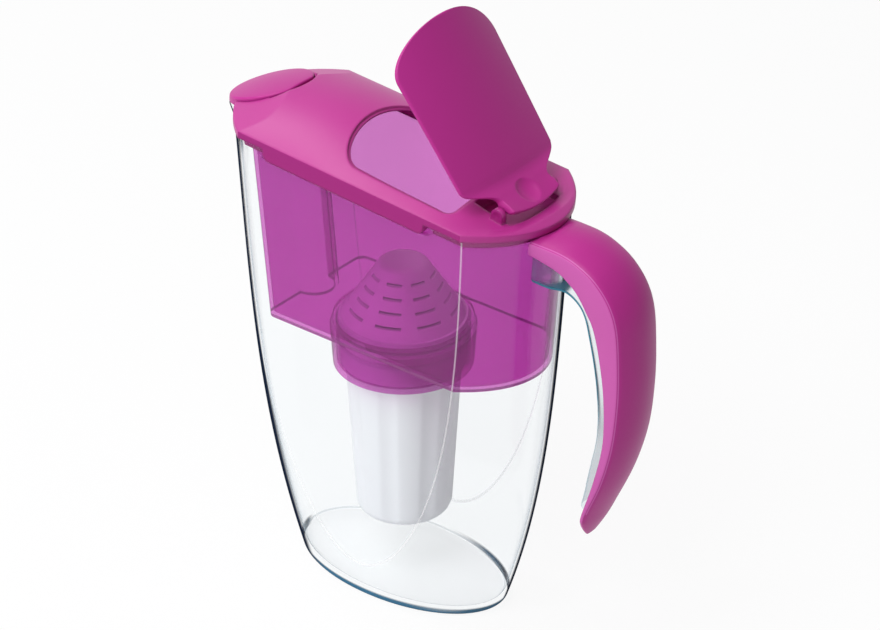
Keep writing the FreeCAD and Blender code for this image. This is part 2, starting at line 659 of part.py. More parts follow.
def make_flap():
    tab = prism_y([(PIVOT_X + x, PIVOT_H + h) for x, h in TAB], TAB_HALF)
    tab = tab.common(bowed(PIVOT_X + max(x for x, h in TAB), TAB_HALF, TAB_BOW))
    hub = cross_rod(PIVOT_X, PIVOT_H, HUB_R, TAB_HALF)
    pins = cross_rod(PIVOT_X, PIVOT_H, PIN_R, TAB_HALF + PIN_REACH)
    back, front = V(TAB[1][0], 0, TAB[1][1]), V(TAB[2][0], 0, TAB[2][1])
    out = V(back.z - front.z, 0, front.x - back.x).normalize()
    middle = V(PIVOT_X, 0, PIVOT_H) + (back + front) * 0.5
    dimple = Part.makeSphere(DIMPLE_R, middle + out * (DIMPLE_R - DIMPLE_DEPTH))
    flap = fuse(flap_plate(), tab, hub, pins).cut(dimple)
    flap.rotate(V(PIVOT_X, 0, PIVOT_H), V(0, 1, 0), FLAP_OPEN)
    return lid_place(flap)


def make_spout_cover():
    tilt = LEAF_TILT * pi / 180
    centre = V(SPOUT_X, 0, LEAF_H) - V(-sin(tilt), 0, cos(tilt)) * LEAF_DOME_R
    floor = FIT_GAP - RIM_DROP
    back = SPOUT_X + LEAF_BACK
    outline = ((LIP_START - FAR, floor - FAR * LIP_SLOPE), (LIP_START, floor), (back, floor), (back, FAR),
               (LIP_START - FAR, FAR))
    outer = disc(SPOUT_X, SPOUT_R, -FAR, FAR).common(Part.makeSphere(LEAF_DOME_R, centre))
    inner = disc(SPOUT_X, SPOUT_R - LEAF_T, -FAR, FAR).common(Part.makeSphere(LEAF_DOME_R - LEAF_T, centre))
    leaf = prism_y(outline, FAR).common(outer).cut(inner)
    for y0, y1 in ((-LEAF_PIN_END, -LEAF_PIN_START), (LEAF_PIN_START, LEAF_PIN_END)):
        leaf = fuse(leaf, rod_y(LEAF_PIVOT_X, LEAF_PIVOT_H, LEAF_PIN_R, y0, y1))
    return lid_place(leaf)


pieces = {
    "jug": make_jug(),
    "handle_cover": make_handle_cover(),
    "hopper": make_hopper(),
    "lid_cover": make_lid(),
    "fill_flap": make_flap(),
    "spout_cover": make_spout_cover(),
    "cartridge_cup": make_cartridge_cup(),
    "cartridge_head": make_cartridge_head(),
    "cartridge_dome": make_cartridge_dome(),
    "well_seal": make_well_seal(),
    "inlet_screen": make_inlet_screen(),
    "sorbent_bed": make_sorbent_bed(),
    "outlet_pad": make_outlet_pad(),
    "outlet_grid": make_outlet_grid(),
}

for name, shape in pieces.items():
    print(name, len(shape.Solids), shape.isValid(), round(shape.Volume / 1000.0, 2))
    shape.exportStep("parts/" + name + ".step")
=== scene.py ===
"""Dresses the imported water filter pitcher: clear jug, tinted hopper, satin lid and handle, white cartridge."""

import logging
import math
from dataclasses import dataclass, replace
from enum import Enum
from typing import Any, Callable, Mapping, Sequence

import bpy
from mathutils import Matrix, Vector


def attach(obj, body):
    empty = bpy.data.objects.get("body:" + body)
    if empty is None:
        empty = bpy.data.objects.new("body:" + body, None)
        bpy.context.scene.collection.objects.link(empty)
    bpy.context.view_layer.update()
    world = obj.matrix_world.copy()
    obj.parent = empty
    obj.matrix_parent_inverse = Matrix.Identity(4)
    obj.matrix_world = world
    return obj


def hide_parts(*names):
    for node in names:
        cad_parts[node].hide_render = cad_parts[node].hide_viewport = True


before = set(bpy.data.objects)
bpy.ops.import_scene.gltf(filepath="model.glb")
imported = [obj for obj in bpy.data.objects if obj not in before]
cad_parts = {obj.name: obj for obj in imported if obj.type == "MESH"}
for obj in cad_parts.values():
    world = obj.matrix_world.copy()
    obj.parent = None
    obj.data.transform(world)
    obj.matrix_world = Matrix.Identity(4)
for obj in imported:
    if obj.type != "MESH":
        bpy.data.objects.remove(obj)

LOG = logging.getLogger("pitcher")
MM = 0.001
QUARTER = math.pi / 2
MERGE = 1e-6                     # points closer than this, in metres, become one
SMOOTH_ANGLE = math.radians(40)  # sharper edges than this stay crisp
SHADED_WALL_NORMAL = 0.9                # faces of a node that point across by more are its side walls, which take the painted shade
LEAST_SINE = 1e-6                # directions nearer to straight ahead never meet the flat sides
BEVEL_SAMPLES = 6
SPANS = 3.0                      # spans between the four sizes that shape the jug from foot to rim
Colour = tuple[float, float, float, float]
Range = tuple[float, float]
LIGHT: Colour = (1, 1, 1, 1)
DARK: Colour = (0, 0, 0, 1)


class Slot(str, Enum):
    """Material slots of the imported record."""

    CLEAR = "clear_plastic"
    MAGENTA = "magenta_plastic"
    TINTED = "tinted_plastic"
    WHITE = "white_plastic"
    PALE = "pale_plastic"
    RUBBER = "seal_rubber"
    MESH = "screen_fabric"
    GRANULES = "granules"


class Wire:
    """A shader socket that takes part in Python arithmetic by adding Math nodes."""

    def __init__(self, graph: "Graph", socket: bpy.types.NodeSocket) -> None:
        """Keeps the socket and the graph that it belongs to."""
        self.graph = graph
        self.socket = socket

    def _math(self, operation: str, first: "Wire | float", second: "Wire | float") -> "Wire":
        """Adds one Math node of two terms."""
        return self.graph.node("ShaderNodeMath", {"operation": operation}, {0: first, 1: second})

    def __add__(self, other: "Wire | float") -> "Wire":
        """Sum."""
        return self._math("ADD", self, other)

    def __radd__(self, other: float) -> "Wire":
        """Sum with a number in front."""
        return self._math("ADD", other, self)

    def __sub__(self, other: "Wire | float") -> "Wire":
        """Difference."""
        return self._math("SUBTRACT", self, other)

    def __rsub__(self, other: float) -> "Wire":
        """Difference from a number."""
        return self._math("SUBTRACT", other, self)

    def __mul__(self, other: "Wire | float") -> "Wire":
        """Product."""
        return self._math("MULTIPLY", self, other)

    def __rmul__(self, other: float) -> "Wire":
        """Product with a number in front."""
        return self._math("MULTIPLY", other, self)

    def __truediv__(self, other: "Wire | float") -> "Wire":
        """Quotient."""
        return self._math("DIVIDE", self, other)

    def __rtruediv__(self, other: float) -> "Wire":
        """Quotient with a number on top."""
        return self._math("DIVIDE", other, self)

    def __pow__(self, other: float) -> "Wire":
        """Power."""
        return self._math("POWER", self, other)

    def __abs__(self) -> "Wire":
        """Value without its sign."""
        return self._math("ABSOLUTE", self, 0.0)

    def at_most(self, limit: "Wire | float") -> "Wire":
        """The smaller of two values."""
        return self._math("MINIMUM", self, limit)

    def at_least(self, limit: "Wire | float") -> "Wire":
        """The larger of two values."""
        return self._math("MAXIMUM", self, limit)


class Graph:
    """Node tree of one material or of the world."""

    def __init__(self, tree: bpy.types.NodeTree) -> None:
        """Empties the tree."""
        self.tree = tree
        self.tree.nodes.clear()

    def node(self, kind: str, settings: Mapping[str, Any], sockets: Mapping[str | int, Any],
             out: str | int = 0) -> Wire:
        """Adds a node.

        Args:
            kind: Blender's name of the node type.
            settings: Properties, set first; "stops" gives a colour ramp's places and colours.
            sockets: Values or wires by the input's name or number.
            out: Name or number of the output to hand back.

        Returns:
            The chosen output.
        """
        made = self.tree.nodes.new(kind)
        for key, value in settings.items():
            if key == "stops":
                while len(made.color_ramp.elements) < len(value):
                    made.color_ramp.elements.new(1.0)
                for element, (place, colour) in zip(made.color_ramp.elements, value):
                    element.position = place
                    element.color = colour
            else:
                setattr(made, key, value)
        for key, value in sockets.items():
            if isinstance(value, Wire):
                self.tree.links.new(value.socket, made.inputs[key])
            else:
                made.inputs[key].default_value = value
        return Wire(self, made.outputs[out])

    def place(self) -> Wire:
        """Object coordinates, in metres."""
        return self.node("ShaderNodeTexCoord", {}, {}, "Object")

    def along(self, axis: str) -> Wire:
        """One object coordinate, in millimetres."""
        return self.node("ShaderNodeSeparateXYZ", {}, {0: self.place()}, axis) * (1 / MM)

    def step(self, value: Wire, low: float, high: float) -> Wire:
        """Smooth step from 0 at low to 1 at high."""
        settings = {"interpolation_type": "SMOOTHSTEP"}
        return self.node("ShaderNodeMapRange", settings, {0: value, 1: low, 2: high, 3: 0.0, 4: 1.0})

    def cubic(self, values: Sequence[float], t: Wire) -> Wire:
        """Cubic through four values.

        Args:
            values: Values at t = 0, 1, 2 and 3.
            t: Place along the cubic.

        Returns:
            The value there.
        """
        first, second, third, fourth = values
        rise = second - first
        bend = third - 2 * second + first
        twist = fourth - 3 * third + 3 * second - first
        return first + t * (rise + (t - 1.0) * (bend / 2 + (t - 2.0) * (twist / 6)))

    def noise(self, scale: float, detail: float = 2.0) -> Wire:
        """Soft noise from 0 to 1 with this many waves to the metre."""
        sockets = {"Vector": self.place(), "Scale": scale, "Detail": detail}
        return self.node("ShaderNodeTexNoise", {}, sockets)

    def blend(self, share: "Wire | float", low: Any, high: Any) -> Wire:
        """Colour between low and high."""
        return self.node("ShaderNodeMix", {"data_type": "RGBA"}, {0: share, 6: low, 7: high}, 2)

    def bump(self, height: Wire, strength: float, depth: float, soft_edge: float = 0.0) -> Wire:
        """Relief on the surface.

        Args:
            height: Height from 0 to 1.
            strength: Share of the relief that shows.
            depth: Its depth in metres.
            soft_edge: Radius in metres over which sharp edges look rounded.

        Returns:
            The normal.
        """
        sockets = {"Height": height, "Strength": strength, "Distance": depth}
        if soft_edge > 0:
            sockets["Normal"] = self.node("ShaderNodeBevel", {"samples": BEVEL_SAMPLES}, {"Radius": soft_edge})
        return self.node("ShaderNodeBump", {}, sockets)

    def facing(self) -> Wire:
        """Layer weight that grows from 0 face on to 1 at a silhouette."""
        return self.node("ShaderNodeLayerWeight", {}, {"Blend": 0.5}, "Facing")

    def matte(self, colour: Colour) -> Wire:
        """Plain diffuse shader."""
        return self.node("ShaderNodeBsdfDiffuse", {}, {"Color": colour})

    def mix(self, share: "Wire | float", first: Wire, second: Wire) -> Wire:
        """Shader between two shaders."""
        return self.node("ShaderNodeMixShader", {}, {0: share, 1: first, 2: second})

    def finish(self, shader: Wire, kind: str = "ShaderNodeOutputMaterial") -> None:
        """Links the shader to an output of this kind."""
        made = self.tree.nodes.new(kind)
        self.tree.links.new(shader.socket, made.inputs["Surface"])


def new_material(name: str) -> tuple[bpy.types.Material, Graph]:
    """Makes an empty node material.

    Args:
        name: Name of the finish.

    Returns:
        The material and its graph.
    """
    material = bpy.data.materials.new(name)
    material.use_nodes = True
    return material, Graph(material.node_tree)


@dataclass(frozen=True)
class SatinPlastic:
    """Moulded opaque plastic with a fine spark-eroded grain and faint flow shading."""

    name: str
    colour: Colour
    shade: Colour
    rough: float
    grain: float
    grain_depth: float
    gloss: float = 0.5
    soft_edge: float = 0.0
    relief: float = 0.35
    flow: float = 22.0
    flow_detail: float = 3.0
    rough_grain: float = 0.08
    rough_flow: float = 0.04

    def material(self) -> bpy.types.Material:
        """Makes the node material.

        Returns:
            The finished material.
        """
        material, graph = new_material(self.name)
        flow = graph.noise(self.flow, self.flow_detail)
        grain = graph.noise(self.grain)
        least = self.rough - (self.rough_grain + self.rough_flow) / 2
        graph.finish(graph.node("ShaderNodeBsdfPrincipled", {}, {
            "Base Color": graph.blend(flow, self.shade, self.colour),
            "Roughness": least + self.rough_grain * grain + self.rough_flow * flow,
            "Specular IOR Level": self.gloss,
            "Normal": graph.bump(grain, self.relief, self.grain_depth, self.soft_edge)}))
        return material


@dataclass(frozen=True)
class ClearPlastic:
    """Water-clear plastic: see-through face on, with a polished surface and painted refraction: deep blue-green
    edges that stand in for the dark surroundings bent into view near a silhouette.
    """

    name: str
    tint: Colour
    edge: Colour
    deep: Colour
    start: float
    full: float
    strength: float
    haze: float = 0.0
    gloss: float = 0.5
    polish: float = 0.05
    gleam: tuple[float, float, float] = (0.03, 0.5, 4.0)
    gleam_top: float = 0.25
    rim_rough: float = 0.6
    densest: float = 0.97
    mottle: float = 25.0

    def film(self, graph: Graph) -> Wire:
        """Clear body of the plastic under its polished skin.

        Args:
            graph: Graph of the material.

        Returns:
            The shader.
        """
        through = graph.node("ShaderNodeBsdfTransparent", {}, {"Color": self.tint})
        shine = graph.node("ShaderNodeBsdfGlossy", {}, {"Color": LIGHT, "Roughness": self.polish})
        least, gain, power = self.gleam
        gleam = least + gain * graph.facing() ** power
        return graph.mix((gleam * self.gloss).at_most(self.gleam_top), through, shine)

    def rim(self, graph: Graph, depth: Wire) -> Wire:
        """Painted refraction: dark blue-green colour along the edges, in place of the surroundings bent into
        view.
        """
        return graph.node("ShaderNodeBsdfPrincipled", {}, {
            "Base Color": graph.blend(depth, self.edge, self.deep), "Roughness": self.rim_rough,
            "Specular IOR Level": 0.0})

    def edges(self, graph: Graph) -> Wire:
        """Share of the painted refraction colour, which grows towards a silhouette."""
        return graph.step(graph.facing(), self.start, self.full) * self.strength

    def material(self) -> bpy.types.Material:
        """Makes the node material.

        Returns:
            The finished material.
        """
        material, graph = new_material(self.name)
        share = (self.edges(graph) + self.haze).at_most(self.densest)
        graph.finish(graph.mix(share, self.film(graph), self.rim(graph, graph.noise(self.mottle))))
        return material


@dataclass(frozen=True, kw_only=True)
class JugWall(ClearPlastic):
    """Outside of the clear jug: a painted white highlight runs along its creases, and painted dark refraction
    rings its thick foot.
    """

    form: "JugForm"
    glint: float = 0.32
    glint_colour: Colour = (0.95, 0.95, 0.96, 1)
    glint_width: Range = (0.003, 0.010)
    foot: float = 0.96
    foot_rise: Range = (0.75, 0.9)
    foot_fall: Range = (3.4, 5.2)
    foot_facing: Range = (0.24, 0.42)
    tone: float = 16.0
    tone_step: Range = (0.35, 0.6)

    def crease(self, graph: Graph) -> Wire:
        """1 along the lines where the flat panels meet the round ends.

        Args:
            graph: Graph of the material.

        Returns:
            The mask.
        """
        form = self.form
        x, z = graph.along("X"), graph.along("Z")
        t = z * (SPANS / form.rim_z)
        flat = form.flat_foot + z * ((form.flat_rim - form.flat_foot) / form.rim_z)
        end = x / graph.cubic(form.end_reach, t)
        side = flat / graph.cubic(form.side_reach, t)
        return 1 - graph.step(abs(end * end + side * side - 1.0), *self.glint_width)

    def material(self) -> bpy.types.Material:
        """Makes the node material.

        Returns:
            The finished material.
        """
        material, graph = new_material(self.name)
        # Painted highlight: a matte white line along the creases, where the rounded corner reflects the lights.
        body = graph.mix(self.crease(graph) * self.glint, self.film(graph), graph.matte(self.glint_colour))
        z = graph.along("Z")
        # Painted refraction: a dark band round the thick foot, its tone varied by noise.
        band = graph.step(z, *self.foot_rise) * (1 - graph.step(z, *self.foot_fall))
        band = band * graph.step(graph.facing(), *self.foot_facing)
        share = self.edges(graph).at_least(band * self.foot)
        tone = band * graph.step(graph.noise(self.tone, detail=1.0), *self.tone_step)
        graph.finish(graph.mix(share, body, self.rim(graph, tone)))
        return material


@dataclass(frozen=True)
class JugInside(ClearPlastic):
    """Inside of the clear jug, with a milky floor and a faint line of painted refraction round it."""

    densest: float = 0.9
    floor_z: float = 4.0
    line: float = 0.3
    line_rise: float = 1.0
    line_width: Range = (0.2, 0.5)
    milk: float = 0.22
    milk_colour: Colour = (0.95, 0.97, 0.985, 1)
    milk_rise: Range = (0.2, 0.9)

    def material(self) -> bpy.types.Material:
        """Makes the node material.

        Returns:
            The finished material.
        """
        material, graph = new_material(self.name)
        over = graph.along("Z") - self.floor_z
        # Painted refraction: a faint dark line just above the inner floor.
        ring = (1 - graph.step(abs(over - self.line_rise), *self.line_width)) * self.line
        milk = (1 - graph.step(over, *self.milk_rise)) * self.milk
        body = graph.mix(milk, self.film(graph), graph.matte(self.milk_colour))
        share = (self.edges(graph) + ring).at_most(self.densest)
        graph.finish(graph.mix(share, body, self.rim(graph, graph.noise(self.mottle))))
        return material


@dataclass(frozen=True)
class SpinePlastic(ClearPlastic):
    """Clear plastic of the handle's spine, its painted refraction paler towards its thin lower end."""

    thin_z: Range = (125.0, 170.0)
    thin_share: float = 0.22

    def edges(self, graph: Graph) -> Wire:
        """Share of the painted refraction colour, which fades down the spine."""
        thick = graph.step(graph.along("Z"), *self.thin_z)
        return super().edges(graph) * (self.thin_share + (1 - self.thin_share) * thick)


@dataclass(frozen=True)
class TintedPlastic:
    """Dyed see-through plastic with a satin skin that scatters some light."""

    name: str
    tint: Colour
    body: Colour
    dense: Colour
    density: float
    edge_weight: float
    rough: float
    gloss: float = 0.4
    edge_facing: Range = (0.55, 1.0)
    bottom_rise: Range = (150.05, 150.3)
    bottom_fall: Range = (151.6, 152.1)
    bottom_share: float = 0.8
    flow: float = 18.0
    rough_flow: float = 0.06
    density_flow: float = 0.03
    densest: float = 0.97

    def material(self) -> bpy.types.Material:
        """Makes the node material, deeper in tone along the bottom edge.

        Returns:
            The finished material.
        """
        material, graph = new_material(self.name)
        z = graph.along("Z")
        bottom = graph.step(z, *self.bottom_rise) * (1 - graph.step(z, *self.bottom_fall))
        edge = graph.step(graph.facing(), *self.edge_facing).at_least(bottom * self.bottom_share)
        flow = graph.noise(self.flow)
        film = graph.node("ShaderNodeBsdfTransparent", {}, {"Color": self.tint})
        skin = graph.node("ShaderNodeBsdfPrincipled", {}, {
            "Base Color": graph.blend(edge, self.body, self.dense),
            "Roughness": self.rough + self.rough_flow * flow, "Specular IOR Level": self.gloss})
        share = (self.density + self.density_flow * flow + self.edge_weight * edge).at_most(self.densest)
        graph.finish(graph.mix(share, film, skin))
        return material


@dataclass(frozen=True)
class Granules:
    """Packed filter grains, mostly black with pale resin beads among them."""

    name: str
    dark: Colour
    pale: Colour
    per_metre: float
    bead_step: Range = (0.72, 0.76)
    rough: float = 0.55
    rough_cell: float = 0.3
    relief: float = 0.8
    relief_depth: float = 0.0006

    def material(self) -> bpy.types.Material:
        """Makes the node material.

        Returns:
            The finished material.
        """
        material, graph = new_material(self.name)
        sockets = {"Vector": graph.place(), "Scale": self.per_metre}
        cell = graph.node("ShaderNodeTexVoronoi", {}, sockets, "Distance")
        pick = graph.node("ShaderNodeTexVoronoi", {}, sockets, "Color")
        bead = graph.node("ShaderNodeSeparateColor", {}, {"Color": pick}, "Red")
        stops = tuple(zip(self.bead_step, (DARK, LIGHT)))
        bead = graph.node("ShaderNodeValToRGB", {"stops": stops}, {"Fac": bead})
        graph.finish(graph.node("ShaderNodeBsdfPrincipled", {}, {
            "Base Color": graph.blend(bead, self.dark, self.pale),
            "Roughness": self.rough + self.rough_cell * cell,
            "Normal": graph.bump(1 - cell, self.relief, self.relief_depth)}))
        return material


@dataclass(frozen=True)
class FilterMesh:
    """Fine woven screen."""

    name: str
    thread: Colour
    gap: Colour
    per_metre: float
    rough: float = 0.85
    rough_thread: float = 0.1
    relief: float = 0.6
    relief_depth: float = 0.0002

    def material(self) -> bpy.types.Material:
        """Makes the node material.

        Returns:
            The finished material.
        """
        material, graph = new_material(self.name)
        threads = []
        for direction in ("X", "Y"):
            settings = {"wave_type": "BANDS", "bands_direction": direction}
            threads.append(graph.node("ShaderNodeTexWave", settings, {
                "Vector": graph.place(), "Scale": self.per_metre, "Distortion": 0.0}, "Fac"))
        weave = threads[0].at_least(threads[1])
        graph.finish(graph.node("ShaderNodeBsdfPrincipled", {}, {
            "Base Color": graph.blend(weave, self.gap, self.thread),
            "Roughness": self.rough - self.rough_thread * weave,
            "Normal": graph.bump(weave, self.relief, self.relief_depth)}))
        return material


# NAVY and TEAL, like the edge and deep colours of the other clear finishes, paint refraction: the dark
# surroundings that clear plastic bends into view near its silhouettes.
NAVY: Colour = (0.006, 0.014, 0.034, 1)
TEAL: Colour = (0.018, 0.135, 0.25, 1)
MAGENTA = SatinPlastic(
    "magenta_satin", (0.45, 0.024, 0.25, 1), (0.42, 0.021, 0.23, 1), 0.42, 1400.0, 0.00004, gloss=0.24)
MAGENTA_LID = replace(MAGENTA, name="magenta_lid", soft_edge=0.002, gloss=0.42)
# Painted shade: a darker, less glossy copy of the lid's magenta for its side walls, standing in for the shade
# that falls on them.
MAGENTA_PAINTED_SHADE = replace(
    MAGENTA_LID, name="magenta_painted_shade", gloss=0.15, colour=(0.33, 0.014, 0.18, 1), shade=(0.31, 0.012, 0.165, 1))
# Painted light: a paler copy of the magenta for the handle's flat sides, standing in for the light that falls on
# them.
MAGENTA_PAINTED_LIGHT = replace(
    MAGENTA, name="magenta_painted_light", colour=(0.56, 0.10, 0.39, 1), shade=(0.52, 0.088, 0.36, 1))
WHITE = SatinPlastic("white_satin", (0.86, 0.87, 0.89, 1), (0.83, 0.84, 0.87, 1), 0.48, 1200.0, 0.00003)
WHITE_MOULD = replace(WHITE, name="white_moulding", soft_edge=0.004)
PALE = SatinPlastic("pale_satin", (0.88, 0.87, 0.90, 1), (0.85, 0.84, 0.87, 1), 0.5, 1200.0, 0.00003)
RUBBER = SatinPlastic(
    "seal_silicone", (0.74, 0.74, 0.77, 1), (0.70, 0.70, 0.74, 1), 0.62, 900.0, 0.0001, gloss=0.35)
CLEAR_IN = JugInside(
    "clear_inner", (0.992, 0.996, 0.998, 1), (0.34, 0.47, 0.55, 1), (0.46, 0.58, 0.66, 1),
    0.66, 1.0, 0.4, gloss=0.3)
CLEAR_SPINE = SpinePlastic(
    "clear_spine", (0.95, 0.975, 0.985, 1), (0.035, 0.20, 0.29, 1), (0.09, 0.34, 0.45, 1),
    0.45, 0.60, 0.92, haze=0.05)
TINTED = TintedPlastic(
    "tinted_satin", (0.86, 0.50, 0.81, 1), (0.56, 0.11, 0.49, 1), (0.16, 0.010, 0.115, 1), 0.10, 0.8, 0.3)
GRANULES = Granules("filter_grains", (0.020, 0.019, 0.020, 1), (0.62, 0.55, 0.40, 1), 900.0)
MESH = FilterMesh("woven_screen", (0.82, 0.82, 0.80, 1), (0.45, 0.45, 0.44, 1), 420.0)


def soft_min(a: float, b: float, soft: float) -> float:
    """Smaller of two lengths, rounded off over about soft."""
    return min(a, b) - soft * math.log1p(math.exp(-abs(a - b) / soft))


def soft_max(a: float, b: float, soft: float) -> float:
    """Larger of two lengths, rounded off over about soft."""
    return -soft_min(-a, -b, soft)


def smooth_step(low: float, high: float, value: float) -> float:
    """0 below low, 1 above high, smooth between."""
    t = min(1.0, max(0.0, (value - low) / (high - low)))
    return t * t * (3 - 2 * t)


def quarter(steps: int) -> list[float]:
    """Angles from 0 to a quarter turn, in even steps."""
    return [QUARTER * i / steps for i in range(steps + 1)]


def on_line(points: Sequence[Range], x: float) -> float:
    """Height at x of a broken line.

    Args:
        points: Places and heights of its corners, in order.
        x: The place.

    Returns:
        The height there.
    """
    for (x0, h0), (x1, h1) in zip(points, points[1:]):
        if x <= x1:
            break
    return h0 + (h1 - h0) * (x - x0) / (x1 - x0)


def spline(points: Sequence[Sequence[float]], steps: int) -> list[tuple[float, ...]]:
    """Smooth line through points, evenly stepped between them.

    Args:
        points: Rows of equal length.
        steps: Number of rows to hand back.

    Returns:
        Rows along a Catmull-Rom line.
    """
    last = len(points) - 1
    rows = []
    for i in range(steps):
        u = last * i / (steps - 1)
        k = min(int(u), last - 1)
        t = u - k
        p0, p1, p2, p3 = (points[min(max(j, 0), last)] for j in (k - 1, k, k + 1, k + 2))
        rows.append(tuple(
            0.5 * (2 * b + (c - a) * t + (2 * a - 5 * b + 4 * c - d) * t * t + (3 * b - a - 3 * c + d) * t ** 3)
            for a, b, c, d in zip(p0, p1, p2, p3)))
    return rows


def gathered(ring: Sequence[Vector]) -> list[Vector]:
    """Ring of the same length drawn together in its middle, which closes a tube."""
    return [sum(ring, Vector()) / len(ring)] * len(ring)


class Bench:
    """Hand-modelling steps that the pieces share."""

    @staticmethod
    def clear() -> None:
        """Leaves edit mode and deselects everything."""
        if bpy.context.object is not None and bpy.context.object.mode != "OBJECT":
            bpy.ops.object.mode_set(mode="OBJECT")
        bpy.ops.object.select_all(action="DESELECT")

    @staticmethod
    def skin(name: str, rows: Sequence[Sequence[Vector]]) -> bpy.types.Object:
        """Lays a grid of quads through closed rows of points, then merges its seam and poles.

        Args:
            name: Name of the piece.
            rows: Rows of points in millimetres, all of one length.

        Returns:
            The new mesh object, at the origin.
        """
        Bench.clear()
        around = len(rows[0])
        bpy.ops.mesh.primitive_grid_add(x_subdivisions=around, y_subdivisions=len(rows) - 1, size=1.0)
        piece = bpy.context.object
        piece.name = name
        piece.data.name = name
        for j, row in enumerate(rows):
            for i in range(around + 1):
                piece.data.vertices[j * (around + 1) + i].co = row[i % around] * MM
        bpy.ops.object.mode_set(mode="EDIT")
        bpy.ops.mesh.select_all(action="SELECT")
        bpy.ops.mesh.remove_doubles(threshold=MERGE)
        bpy.ops.mesh.normals_make_consistent(inside=False)
        bpy.ops.object.mode_set(mode="OBJECT")
        bpy.ops.object.shade_smooth_by_angle(angle=SMOOTH_ANGLE)
        return piece

    @staticmethod
    def round_skin(name: str, line: Callable[[float], list[Vector]], columns: int) -> bpy.types.Object:
        """Lays a skin through one line in each direction round the middle.

        Args:
            name: Name of the piece.
            line: Gives the points of one direction, which is in radians.
            columns: Number of directions.

        Returns:
            The new mesh object.
        """
        lines = [line(2 * math.pi * i / columns) for i in range(columns)]
        return Bench.skin(name, list(zip(*lines)))

    @staticmethod
    def dress(piece: bpy.types.Object, material: bpy.types.Material, slot: Slot, body: str) -> None:
        """Gives a new piece its finish and the body that it moves with.

        Args:
            piece: The piece.
            material: Its finish.
            slot: The record's slot of that finish; not used.
            body: Name of the CAD body.
        """
        piece.data.materials.clear()
        piece.data.materials.append(material)
        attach(piece, body)
        LOG.info("%s rides %s, %d faces", piece.name, body, len(piece.data.polygons))

    @staticmethod
    def dress_node(node: str, material: bpy.types.Material, wall: bpy.types.Material | None = None) -> None:
        """Gives a CAD node its finish.

        Args:
            node: Name of the node.
            material: Its finish.
            wall: Darker finish of its side walls, which paints shade on them, where that differs.
        """
        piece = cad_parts[node]
        piece.data.materials.clear()
        piece.data.materials.append(material)
        if wall is not None:
            piece.data.materials.append(wall)
        for face in piece.data.polygons:
            face.material_index = 1 if wall is not None and abs(face.normal.y) > SHADED_WALL_NORMAL else 0
        LOG.info("%s dressed, %d faces", node, len(piece.data.polygons))


@dataclass(frozen=True)
class JugForm:
    """Form that the jug's wall follows, in millimetres."""

    rim_z: float = 250.0
    end_reach: tuple[float, ...] = (63.5, 83.6, 91.0, 97.4)
    side_reach: tuple[float, ...] = (36.1, 50.2, 60.6, 62.9)
    flat_foot: float = 39.5
    flat_rim: float = 42.8
    rim_tilt: float = math.radians(4.175)
    crease: float = 1.1
    spout_x: float = -86.9
    spout_lean: float = 23.0
    spout_r: float = 21.5
    spout_root_r: float = 17.2
    spout_h: float = 60.0
    spout_blend: float = 2.0

    def reach(self, values: Sequence[float], z: float) -> float:
        """Size of the wall's ellipse at one height.

        Args:
            values: Four sizes, evenly spaced from foot to rim.
            z: Height.

        Returns:
            The value there of the cubic through them.
        """
        t = SPANS * z / self.rim_z
        total = 0.0
        for i, value in enumerate(values):
            for j in range(len(values)):
                if j != i:
                    value *= (t - j) / (i - j)
            total += value
        return total

    def radius(self, turn: float, z: float, inset: float) -> float:
        """Distance of the wall from the middle.

        Args:
            turn: Direction from the handle side, in radians.
            z: Height.
            inset: How far the wall is drawn in.

        Returns:
            The distance, the pouring spout included.
        """
        c, s = math.cos(turn), abs(math.sin(turn))
        a = self.reach(self.end_reach, z) - inset
        b = self.reach(self.side_reach, z) - inset
        flat = self.flat_foot + (self.flat_rim - self.flat_foot) * z / self.rim_z - inset
        wall = 1.0 / math.hypot(c / a, s / b)
        if s > LEAST_SINE:
            wall = soft_min(wall, flat / s, self.crease)
        k = 1.0 - (self.rim_z - z) / self.spout_h
        centre = self.spout_x + self.spout_lean * (1 - k)
        round_r = self.spout_root_r + (self.spout_r - self.spout_root_r) * k - inset
        chord = round_r ** 2 - (centre * s) ** 2
        if c < 0 and chord > 0:
            wall = soft_max(wall, centre * c + math.sqrt(chord), self.spout_blend)
        return wall

    def point(self, turn: float, z: float, inset: float) -> Vector:
        """Point of the wall."""
        r = self.radius(turn, z, inset)
        return Vector((r * math.cos(turn), r * math.sin(turn), z))

    def plane(self, x: float) -> float:
        """Height of the lid's edge plane."""
        return self.rim_z - x * math.tan(self.rim_tilt)


